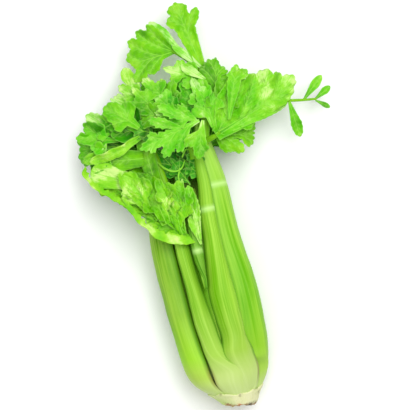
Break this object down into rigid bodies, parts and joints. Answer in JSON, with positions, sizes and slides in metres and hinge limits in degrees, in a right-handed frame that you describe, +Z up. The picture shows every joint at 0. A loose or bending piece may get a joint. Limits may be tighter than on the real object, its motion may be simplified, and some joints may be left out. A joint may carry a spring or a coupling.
{
  "type": "head of celery",
  "caption": "Head of celery lying on its side: ribbed green stalks round a pale cut crown, with toothed, lobed leaves spreading from their tops.",
  "frame": {"origin": "on the surface the head lies on, under the middle of its footprint", "axes": "+Y along the head from its cut crown towards its leaves, +Z up from the surface, +X to the right when the head is seen from above with its leaves away from the viewer"},
  "size_m": [0.2334, 0.369, 0.074],
  "materials": {
    "stalk": "satin, ribbed, pale towards the crown",
    "heart": "satin, pale",
    "crown": "matte, cream with a browned cut",
    "leaf": "satin, veined",
    "leaf_stem": "satin"
  },
  "bodies": {
    "root": {"crown": "crown", "heart_stalk_left": "heart", "heart_stalk_right": "heart", "leaf_apron": "leaf", "leaf_centre_left": "leaf", "leaf_fan": "leaf", "leaf_fan_fold": "leaf", "leaf_far_left": "leaf", "leaf_front": "leaf", "leaf_front_lobe": "leaf", "leaf_inner_frill": "leaf", "leaf_left_bud": "leaf", "leaf_left_curl": "leaf", "leaf_left_top": "leaf", "leaf_mid_left": "leaf", "leaf_mid_right": "leaf", "leaf_mid_top": "leaf", "leaf_middle": "leaf", "leaf_right": "leaf", "leaf_right_lobe": "leaf", "leaf_right_low": "leaf", "leaf_shadow_left": "leaf", "leaf_shadow_right": "leaf", "leaf_stem_centre": "leaf_stem", "leaf_stem_fan": "leaf_stem", "leaf_stem_front": "leaf_stem", "leaf_stem_left": "leaf_stem", "leaf_stem_left_top": "leaf_stem", "leaf_stem_right": "leaf_stem", "leaf_stem_right_main": "leaf_stem", "leaf_stem_sprig": "leaf_stem", "leaf_top": "leaf", "leaf_top_centre": "leaf", "leaf_under_far_right": "leaf", "leaf_under_left": "leaf", "leaf_under_middle": "leaf", "leaf_under_right": "leaf", "sprig_leaf_down": "leaf", "sprig_leaf_end": "leaf", "sprig_leaf_low": "leaf", "sprig_leaf_up": "leaf", "stalk_front_left": "stalk", "stalk_front_right": "stalk", "stalk_inner_bottom": "stalk", "stalk_inner_front": "stalk", "stalk_inner_left": "stalk", "stalk_inner_right": "stalk", "stalk_inner_top": "stalk", "stalk_left": "stalk", "stalk_right": "stalk", "stalk_under_left": "stalk", "stalk_under_left_inner": "stalk", "stalk_under_right": "stalk", "stalk_under_right_inner": "stalk"}
  },
  "joints": []
}
